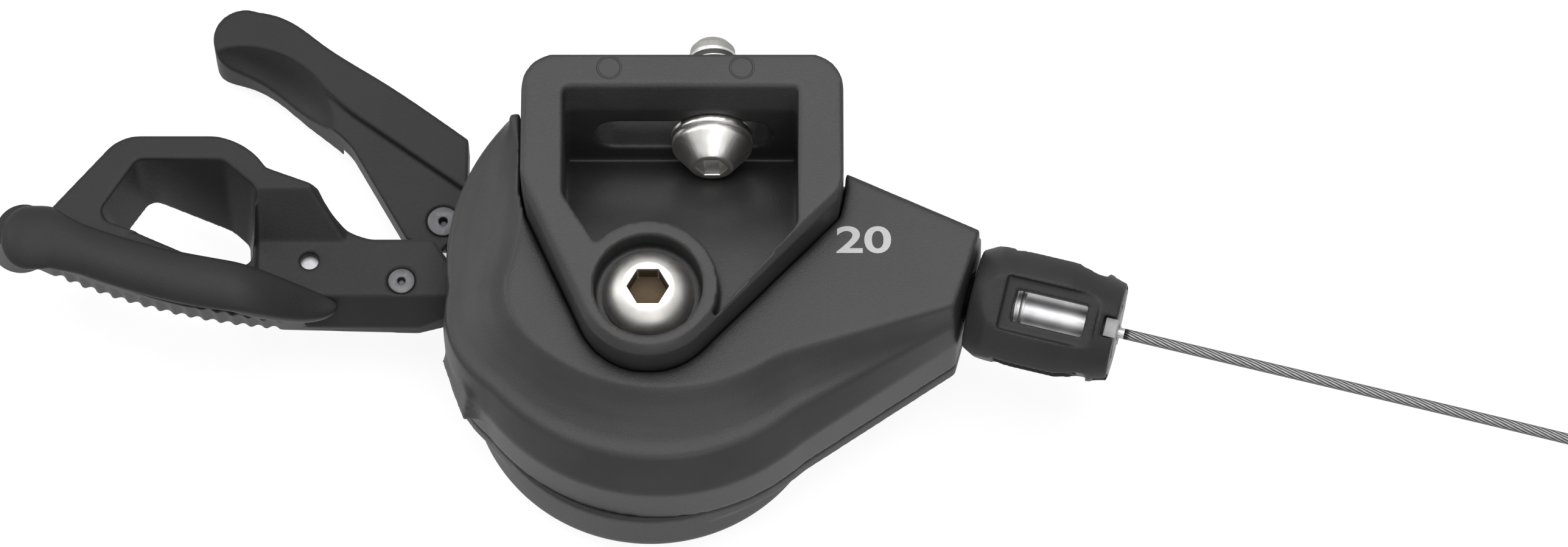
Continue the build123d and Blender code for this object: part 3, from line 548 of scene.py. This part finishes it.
def merged_copy(node, material, flatten=False):
    """Copy of a node with its seams merged, standing in for it; flatten joins its flat facets."""
    shape = bmesh.new()
    shape.from_mesh(frame["nodes"][node].data)
    bmesh.ops.remove_doubles(shape, verts=shape.verts, dist=SEAM)
    if flatten:
        bmesh.ops.dissolve_limit(
            shape, angle_limit=FLAT_ANGLE, verts=shape.verts, edges=shape.edges
        )
    mesh = bpy.data.meshes.new(node + "_finish")
    shape.to_mesh(mesh)
    shape.free()
    mesh.materials.clear()
    mesh.materials.append(material)
    piece = bpy.data.objects.new(node + "_finish", mesh)
    bpy.context.collection.objects.link(piece)
    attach(piece, body_of_node(node))
    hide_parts(node)
    return piece


def rounded_copy(node, material, width):
    """Copy of a node with its edges rounded by that width."""
    piece = merged_copy(node, material, flatten=True)
    faces = piece.data.polygons
    faces.foreach_set("use_smooth", np.full(len(faces), True))
    bevel = piece.modifiers.new("edges", "BEVEL")
    bevel.width = width
    bevel.segments = 2
    bevel.limit_method = "ANGLE"
    bevel.angle_limit = CORNER_ANGLE
    bevel.use_clamp_overlap = True
    bevel.harden_normals = True
    return piece


def moulded_copy(node, material, cell, passes):
    """Copy of a node as one even skin of small cells, its edges eased as a mould leaves them."""
    piece = merged_copy(node, material)
    skin = piece.modifiers.new("skin", "REMESH")
    skin.mode = "VOXEL"
    skin.voxel_size = cell
    skin.use_smooth_shade = True
    ease = piece.modifiers.new("ease", "SMOOTH")
    ease.factor = 0.5
    ease.iterations = passes
    return piece


def paint_node(node, material):
    """Give a CAD node a material and leave its mesh alone."""
    mesh = frame["nodes"][node].data
    mesh.materials.clear()
    mesh.materials.append(material)


# Cell of each moulded skin, and how often it is eased.
SKINS = {
    "top_cover": (0.30 * MM, 10),
    "lower_case": (0.30 * MM, 8),
    "bracket": (0.25 * MM, 9),
    "main_pad": (0.19 * MM, 12),
    "release_pad": (0.18 * MM, 12),
    "adjuster_knob": (0.17 * MM, 6),
}


class SHIFTER_OT_shells(bpy.types.Operator):
    """Moulded case, bracket, levers and knob with rounded edges and grain"""

    bl_idname = "shifter.shells"
    bl_label = "Moulded pieces"

    def execute(self, context):
        finishes = {
            "top_cover": resin("cover_resin", 1.0),
            "lower_case": resin("case_resin", 0.85, gloss=0.50),
            "bracket": resin("bracket_resin", 1.0, gloss=0.44, marks=pin_marks),
            "main_pad": resin("lever_resin", 0.65, gloss=0.52, sheen=0.21),
            "adjuster_knob": resin("knob_resin", 0.85, gloss=0.50, sheen=0.2),
        }
        finishes["release_pad"] = finishes["main_pad"]
        for node, (cell, passes) in SKINS.items():
            moulded_copy(node, finishes[node], cell, passes)
        points, faces = rail_surface()
        new_piece("thumb_rail", points, faces, finishes["main_pad"], "main_lever")
        return {"FINISHED"}


def eased(values, steps):
    """Sum of smooth steps 3 s^2 - 2 s^3; each is (start, width, height)."""
    total = np.zeros_like(values)
    for first, width, height in steps:
        share = np.clip((values - first) / width, 0, 1)
        total += height * share * share * (3 - 2 * share)
    return total


RAIL_ROOT = (-41.0, 2.9)
RAIL_LENGTH = 25.5
RAIL_RISE = 1.6
RAIL_BOW = 5.0
RAIL_OVERHANG = 2.3
RAIL_ENDS = (-0.26, 1.185)
RAIL_ROOT_TAPER = 0.6
RAIL_TIP_ROUND = 0.12
RAIL_LEVEL_FROM = 0.97
RAIL_SINK_FROM = 0.2
RAIL_HALF_WIDTH = 3.0
RAIL_CROWN = 1.5
RAIL_TIP_SWELL = 0.75
RAIL_KEEL = 3.0
RAIL_TOP = 18.5
RAIL_DROP = 4.6


def rail_surface(rows=96, around=32):
    """Rounded rail: rings (w cos a, h sin a) along x = root - length t, y = edge of the lever.

    The edge is rise t + bow t^2 and level at the tip, w and h close like a ball at both ends,
    and the rail sinks to the lever's root, with a deeper underside there.
    """
    share, angle = np.meshgrid(np.linspace(0, np.pi, rows), full_turn(around), indexing="ij")
    low, high = RAIL_ENDS
    run = low + (high - low) * (1 - np.cos(share)) / 2
    ends = np.minimum((run - low) / RAIL_ROOT_TAPER, (high - run) / RAIL_TIP_ROUND).clip(0, 1)
    size = np.sqrt(np.maximum(1 - (1 - ends) ** 2, 1e-4))
    sink = eased(run, [(low, RAIL_SINK_FROM - low, 1)])
    x = RAIL_ROOT[0] - RAIL_LENGTH * run
    level = np.minimum(run, RAIL_LEVEL_FROM)
    edge = RAIL_ROOT[1] - RAIL_OVERHANG + RAIL_RISE * level + RAIL_BOW * level**2
    width = RAIL_HALF_WIDTH + RAIL_TIP_SWELL * eased(run, [(0.82, 0.2, 1)])
    y = edge + RAIL_HALF_WIDTH - width * size * np.cos(angle)
    keel = RAIL_CROWN + RAIL_KEEL * (1 - eased(run, [(0.08, 0.16, 1)]))
    rise = np.where(np.sin(angle) > 0, RAIL_CROWN, keel) * size * np.sin(angle)
    z = RAIL_TOP - RAIL_DROP * (1 - sink) + rise
    points = np.stack((x, y, z), axis=-1).reshape(-1, 3) * MM
    return points, grid_faces(rows, around, True)


NUMERAL = "20"
NUMERAL_PLACE = np.array((20.3, 5.9)) * MM
NUMERAL_STRETCH = 1.4
NUMERAL_WEIGHT = 0.08 * MM
FIGURE_SHARE = 0.73
INK_LIFT = 0.03 * MM


def flat_top(node):
    """Centre and normal of a node's largest face that looks up."""
    faces = frame["nodes"][node].data.polygons
    centre, normal, area = (np.empty(len(faces) * n) for n in (3, 3, 1))
    faces.foreach_get("center", centre)
    faces.foreach_get("normal", normal)
    faces.foreach_get("area", area)
    centre, normal = centre.reshape(-1, 3), normal.reshape(-1, 3)
    best = np.argmax(area * (normal[:, 2] > 0.8) * (centre[:, 2] > 0.5 * centre[:, 2].max()))
    return centre[best], normal[best]


class SHIFTER_OT_numeral(bpy.types.Operator):
    """Plain printed numeral on the cover"""

    bl_idname = "shifter.numeral"
    bl_label = "Numeral"

    def execute(self, context):
        sizes = context.scene.shifter_sizes
        curve = bpy.data.curves.new("numeral", "FONT")
        curve.body = NUMERAL
        curve.size = sizes.numeral_height / FIGURE_SHARE
        curve.offset = NUMERAL_WEIGHT
        curve.resolution_u = 6
        flat = bpy.data.objects.new("numeral_curve", curve)
        mesh = bpy.data.meshes.new_from_object(flat)
        points = np.empty(3 * len(mesh.vertices))
        mesh.vertices.foreach_get("co", points)
        points = points.reshape(-1, 3)
        points[:, 0] *= NUMERAL_STRETCH
        points[:, :2] += NUMERAL_PLACE
        centre, normal = flat_top("top_cover")
        rise = (points[:, :2] - centre[:2]) @ normal[:2] / normal[2]
        points[:, 2] = centre[2] - rise + INK_LIFT
        mesh.vertices.foreach_set("co", points.ravel())
        bpy.data.objects.remove(flat)
        mesh.materials.clear()
        mesh.materials.append(ink("print_ink", context.scene.shifter_colours.print_grey))
        piece = bpy.data.objects.new("numeral", mesh)
        bpy.context.collection.objects.link(piece)
        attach(piece, "case")
        return {"FINISHED"}


class SHIFTER_OT_fasteners(bpy.types.Operator):
    """Bolts, washer and rivets in plated steel"""

    bl_idname = "shifter.fasteners"
    bl_label = "Fasteners"

    def execute(self, context):
        round_size = context.scene.shifter_sizes.fastener_round
        colours = context.scene.shifter_colours
        bright = metal("bolt_steel", colours.steel, 0.30)
        dull = metal("rivet_steel", colours.rivet, 0.50)
        # Painted shade in the main bolt's socket and on its crown.
        bolt = metal("main_bolt_steel", colours.steel, 0.44, shade=socket_shade)
        # Painted shade between the clamp bolt's thread crests and at its tip.
        clamp = metal("clamp_steel", colours.steel, 0.38, shade=thread_shade, painted_shade_colour=THREAD_SHADE_COLOUR)
        rounded_copy("main_bolt", bolt, round_size)
        rounded_copy("clamp_bolt", clamp, round_size)
        rounded_copy("clamp_washer", bright, round_size)
        for node in ("main_rivet", "release_rivet", "case_screws"):
            rounded_copy(node, dull, round_size)
        pitch = context.scene.shifter_sizes.thread_pitch
        points, faces = thread_surface(
            CLAMP_END, CLAMP_AXIS, CLAMP_THREAD, THREAD_RADIUS, pitch, CLAMP_THREAD_DEPTH
        )
        new_piece("clamp_thread", points, faces, clamp, "clamp")
        return {"FINISHED"}


PLATE_NODES = ("main_plate", "release_plate", "ratchet_wheel", "winding_pawl", "holding_pawl")
TURNED_NODES = (
    "axle",
    "lever_spacer",
    "release_washer",
    "main_washer",
    "winding_pawl_pin",
    "holding_pawl_pin",
    "wire_inside",
    "wire_wrap",
    "wire_head",
)
SPRING_NODES = ("drum_spring", "main_lever_spring", "release_lever_spring")


class SHIFTER_OT_inner_works(bpy.types.Operator):
    """Finishes of the pieces inside the case"""

    bl_idname = "shifter.inner_works"
    bl_label = "Inner works"

    def execute(self, context):
        colours = context.scene.shifter_colours
        finishes = {
            PLATE_NODES: metal("plate_steel", colours.plate, 0.40),
            TURNED_NODES: metal("turned_steel", colours.turned, 0.30),
            SPRING_NODES: metal("spring_steel", colours.spring, 0.32),
            ("cable_drum",): resin("drum_resin", 3.0),
        }
        for nodes, material in finishes.items():
            for node in nodes:
                paint_node(node, material)
        return {"FINISHED"}


class SHIFTER_OT_adjuster(bpy.types.Operator):
    """Adjuster bolt with its thread"""

    bl_idname = "shifter.adjuster"
    bl_label = "Adjuster bolt"

    def execute(self, context):
        colour = context.scene.shifter_colours.alloy
        # Painted shade on the adjuster's neck and end.
        alloy = metal("adjuster_alloy", colour, 0.5, shade=neck_shade, painted_shade_colour=NECK_SHADE_COLOUR)
        paint_node("adjuster_bolt", alloy)
        pitch = context.scene.shifter_sizes.thread_pitch
        points, faces = thread_surface(
            KNOB_FOOT, KNOB_AXIS, ADJUSTER_THREAD, THREAD_RADIUS, pitch, ADJUSTER_THREAD_DEPTH
        )
        new_piece("adjuster_thread", points, faces, alloy, "adjuster")
        return {"FINISHED"}


WIRE_POINTS = np.array(
    (
        (104.0, -14.15, 16.5),
        (112.0, -16.2, 15.2),
        (119.5, -18.1, 11.2),
        (127.0, -20.1, 5.2),
        (134.0, -21.9, 1.7),
    )
)
WIRE_EXIT_RUN = 15.6
COIL_CENTRE = np.array((143.8, -8.7))
COIL_RADIUS = 15.2
COIL_LOW = 1.3
TURN_GAP = 1.22
COIL_COLUMNS = 7
COIL_LAYERS = 4
CAP_RADIUS = 9.2
CAP_LIFT = 0.48
CAP_GRIP = 3.0
WIRE_STEP = 0.7 * MM
FITTING_ROUND = 0.2 * MM


def coil_path(start_angle, per_turn=48):
    """Wire wound in layers: radius steps by one gap a turn, and height by one gap a layer."""
    columns, layers = [], []
    moment = 0.75
    for layer in range(COIL_LAYERS):
        way = 1 if layer % 2 == 0 else -1
        for _ in range(COIL_COLUMNS - 1):
            columns.append((moment, 0.2, way))
            moment += 1
        layers.append((moment - 0.5, 0.2, 1))
    columns.append((moment, 0.2, 1))
    last = moment + 0.7
    columns.append((last, 0.5, (COIL_RADIUS - CAP_RADIUS) / TURN_GAP - 1))
    layers.append((last, 0.5, CAP_LIFT / TURN_GAP))
    end = math.floor(last) + 1.0
    turns = np.linspace(0, end, int(end * per_turn) + 1)
    radius = COIL_RADIUS - TURN_GAP * eased(turns, columns)
    height = COIL_LOW + TURN_GAP * eased(turns, layers)
    angle = start_angle + 2 * np.pi * turns
    return np.column_stack(
        (COIL_CENTRE[0] + radius * np.cos(angle), COIL_CENTRE[1] + radius * np.sin(angle), height)
    )


def soft_route(corners, per_corner=24):
    """Quadratic curve through the middles between corners, straight at both ends."""
    middles = (corners[1:] + corners[:-1]) / 2
    share = np.linspace(0, 1, per_corner)[:, None]
    bends = [
        (1 - share) ** 2 * before + 2 * share * (1 - share) * corner + share**2 * after
        for before, corner, after in zip(middles[:-1], corners[1:-1], middles[1:])
    ]
    return np.concatenate([corners[:1], *bends, corners[-1:]])


def even_path(path, step):
    """Points along a path at even distances, with the distance of each."""
    keep = np.concatenate(([True], np.linalg.norm(np.diff(path, axis=0), axis=1) > 1e-9))
    path = path[keep]
    run = np.concatenate(([0.0], np.cumsum(np.linalg.norm(np.diff(path, axis=0), axis=1))))
    places = np.linspace(0, run[-1], int(run[-1] / step) + 1)
    return np.stack([np.interp(places, run, path[:, k]) for k in range(3)], axis=1), places


def tube(path, radius, around=14):
    """Round tube: each ring is centre + radius (cos a side + sin a up), square to the path."""
    heading = np.gradient(path, axis=0)
    heading /= np.linalg.norm(heading, axis=1, keepdims=True)
    side = np.cross((0.0, 0.0, 1.0), heading)
    side /= np.linalg.norm(side, axis=1, keepdims=True)
    up = np.cross(heading, side)
    angle = full_turn(around)
    rings = (
        path[:, None]
        + radius * np.cos(angle)[None, :, None] * side[:, None]
        + radius * np.sin(angle)[None, :, None] * up[:, None]
    )
    return rings.reshape(-1, 3)


def close_ends(mesh, around):
    """Close a tube's first and last ring with a flat face each."""
    shape = bmesh.new()
    shape.from_mesh(mesh)
    rim = list(shape.verts)
    shape.faces.new(rim[around - 1 :: -1])
    shape.faces.new(rim[-around:])
    bmesh.ops.recalc_face_normals(shape, faces=shape.faces)
    shape.to_mesh(mesh)
    shape.free()


def map_strands(mesh, run, around):
    """UV map of a tube: u is the distance along it and v the turn round it, with no step back."""
    row = np.repeat(run, around)
    turn = np.tile(np.arange(around) / around, len(run))
    corner = np.empty(len(mesh.loops), dtype=np.int32)
    start, count = (np.empty(len(mesh.polygons), dtype=np.int32) for _ in range(2))
    mesh.loops.foreach_get("vertex_index", corner)
    mesh.polygons.foreach_get("loop_start", start)
    mesh.polygons.foreach_get("loop_total", count)
    spin = turn[corner]
    lowest = np.repeat(np.minimum.reduceat(spin, start), count)
    highest = np.repeat(np.maximum.reduceat(spin, start), count)
    spin = np.where((highest - lowest > 0.5) & (spin < 0.25), spin + 1, spin)
    layer = mesh.uv_layers.new(name="strand")
    layer.data.foreach_set("uv", np.column_stack((row[corner], spin)).ravel())


class SHIFTER_OT_wire(bpy.types.Operator):
    """Gear wire from the adjuster to its tied coil, with tie and end cap"""

    bl_idname = "shifter.wire"
    bl_label = "Gear wire"

    def execute(self, context):
        sizes = context.scene.shifter_sizes
        steel = stranded("wire_steel", context.scene.shifter_colours.wire)
        wire_way = KNOB_AXIS
        exit_point = KNOB_FOOT + WIRE_EXIT_RUN * MM * wire_way
        down = np.array((wire_way[1], -wire_way[0]))
        touch = np.append(COIL_CENTRE + COIL_RADIUS * down, COIL_LOW)
        corners = np.concatenate(([exit_point / MM], WIRE_POINTS, [touch]))
        turns = coil_path(math.atan2(down[1], down[0]))
        grip = turns[-1] + CAP_GRIP * wire_way
        line = np.concatenate((soft_route(corners), turns[1:], [grip]))
        path, run = even_path(line * MM, WIRE_STEP)
        around = 14
        points = tube(path, sizes.wire_diameter / 2, around)
        faces = grid_faces(len(path), around, True)
        wire = new_piece("gear_wire", points, faces, steel, "case")
        close_ends(wire.data, around)
        map_strands(wire.data, run, around)
        alloy = metal("cap_alloy", context.scene.shifter_colours.alloy, 0.3)
        cap = rounded_copy("wire_cap", alloy, FITTING_ROUND)
        tie = rounded_copy("wire_tie", resin("tie_resin", 1.6), FITTING_ROUND)
        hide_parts("wire_free", "wire_coil")
        return {"FINISHED"}


CAMERA_DISTANCE = 0.80
CAMERA_ELEVATION = math.radians(66.7)
CAMERA_AIM = np.array((14.7, 5.766, 18.0)) * MM
PHOTO_WIDTH = 2576
PIXELS_PER_MM = 15.0
FRAME_WIDTH = PHOTO_WIDTH / PIXELS_PER_MM * MM
SENSOR = 36.0
WORLD_LIGHT = 0.25
FLOOR_REACH = 3.0
FLOOR_GLOW = 1.12
FLOOR_GLOW_SHARE = 0.8
# Name, place, width and power of each lamp.
LAMPS = (
    ("overhead", (0.05, 0.10, 0.55), 0.5, 2.7),
    ("left", (-0.45, 0.20, 0.35), 0.35, 1.2),
    ("near", (0.10, -0.45, 0.45), 0.35, 0.8),
)


class SHIFTER_OT_studio(bpy.types.Operator):
    """Camera, pale floor and soft lamps"""

    bl_idname = "shifter.studio"
    bl_label = "Studio"

    def execute(self, context):
        scene = context.scene
        scene.view_settings.view_transform = "Standard"
        self.add_camera(scene)
        self.add_floor()
        self.add_world(scene)
        for lamp in LAMPS:
            self.add_lamp(*lamp)
        return {"FINISHED"}

    def add_camera(self, scene):
        """Long lens that looks along +Y and down at the photo's angle."""
        lens = bpy.data.cameras.new("camera")
        lens.sensor_width = SENSOR
        lens.sensor_fit = "HORIZONTAL"
        lens.lens = SENSOR * CAMERA_DISTANCE / FRAME_WIDTH
        lens.clip_start = 0.01
        camera = bpy.data.objects.new("camera", lens)
        bpy.context.collection.objects.link(camera)
        back = np.array((0, -math.cos(CAMERA_ELEVATION), math.sin(CAMERA_ELEVATION)))
        camera.location = CAMERA_AIM + CAMERA_DISTANCE * back
        camera.rotation_euler = (math.pi / 2 - CAMERA_ELEVATION, 0, 0)
        scene.camera = camera

    def add_floor(self):
        """Pale floor under the object that stays white to the camera and keeps a shadow."""
        reach = FLOOR_REACH
        mesh = bpy.data.meshes.new("floor")
        corners = [(-reach, -reach, 0), (reach, -reach, 0), (reach, reach, 0), (-reach, reach, 0)]
        mesh.from_pydata(corners, [], [(0, 1, 2, 3)])
        shader = Shader("floor")
        shader.fill(shader.surface, {"Base Color": (0.9, 0.9, 0.9, 1), "Roughness": 0.9})
        white = {"Color": (1, 1, 1, 1), "Strength": FLOOR_GLOW}
        glow = shader.node("ShaderNodeEmission", {}, white)
        plain = Socket(shader, shader.surface.outputs[0])
        share = FLOOR_GLOW_SHARE * shader.seen()
        mixed = shader.node("ShaderNodeMixShader", {}, {0: share, 1: plain, 2: glow})
        shader.fill(shader.output, {"Surface": mixed})
        mesh.materials.append(shader.material)
        floor = bpy.data.objects.new("floor", mesh)
        bpy.context.collection.objects.link(floor)

    def add_world(self, scene):
        """Even surroundings that look white and give a little light."""
        world = bpy.data.worlds.new("studio")
        world.use_nodes = True
        sky = Nodes(world.node_tree)
        strength = WORLD_LIGHT + (1 - WORLD_LIGHT) * sky.seen()
        sky.fill(sky.tree.nodes["Background"], {"Color": (1, 1, 1, 1), "Strength": strength})
        scene.world = world

    def add_lamp(self, name, place, size, power):
        """Square soft lamp that points at the aim of the camera."""
        light = bpy.data.lights.new(name, "AREA")
        light.size = size
        light.energy = power
        lamp = bpy.data.objects.new(name, light)
        bpy.context.collection.objects.link(lamp)
        lamp.location = place
        toward = np.asarray(CAMERA_AIM) - np.asarray(place)
        flat = math.hypot(toward[0], toward[1])
        tilt = math.atan2(flat, -toward[2])
        lamp.rotation_euler = (tilt, 0, math.atan2(toward[1], toward[0]) - math.pi / 2)


class SHIFTER_PT_panel(bpy.types.Panel):
    """Sidebar panel with the shifter's pieces"""

    bl_idname = "SHIFTER_PT_panel"
    bl_label = "Trigger gear shifter"
    bl_space_type = "VIEW_3D"
    bl_region_type = "UI"
    bl_category = "Shifter"

    def draw(self, context):
        layout = self.layout
        for operator in OPERATORS:
            layout.operator(operator.bl_idname)
        for group in (context.scene.shifter_sizes, context.scene.shifter_colours):
            for name in group.bl_rna.properties.keys():
                if name not in ("rna_type", "name"):
                    layout.prop(group, name)


OPERATORS = (
    SHIFTER_OT_studio,
    SHIFTER_OT_wire,
    SHIFTER_OT_shells,
    SHIFTER_OT_numeral,
    SHIFTER_OT_fasteners,
    SHIFTER_OT_inner_works,
    SHIFTER_OT_adjuster,
)
CLASSES = (ShifterSizes, ShifterColours, *OPERATORS, SHIFTER_PT_panel)


def register():
    """Register the classes and hang the settings on the scene."""
    for item in CLASSES:
        bpy.utils.register_class(item)
    bpy.types.Scene.shifter_sizes = bpy.props.PointerProperty(type=ShifterSizes)
    bpy.types.Scene.shifter_colours = bpy.props.PointerProperty(type=ShifterColours)


def unregister():
    """Take the settings and classes away again."""
    del bpy.types.Scene.shifter_colours
    del bpy.types.Scene.shifter_sizes
    for item in reversed(CLASSES):
        bpy.utils.unregister_class(item)


def main():
    """Build every piece in order."""
    register()
    for operator in OPERATORS:
        group, name = operator.bl_idname.split(".")
        getattr(getattr(bpy.ops, group), name)()


if __name__ == "__main__":
    main()
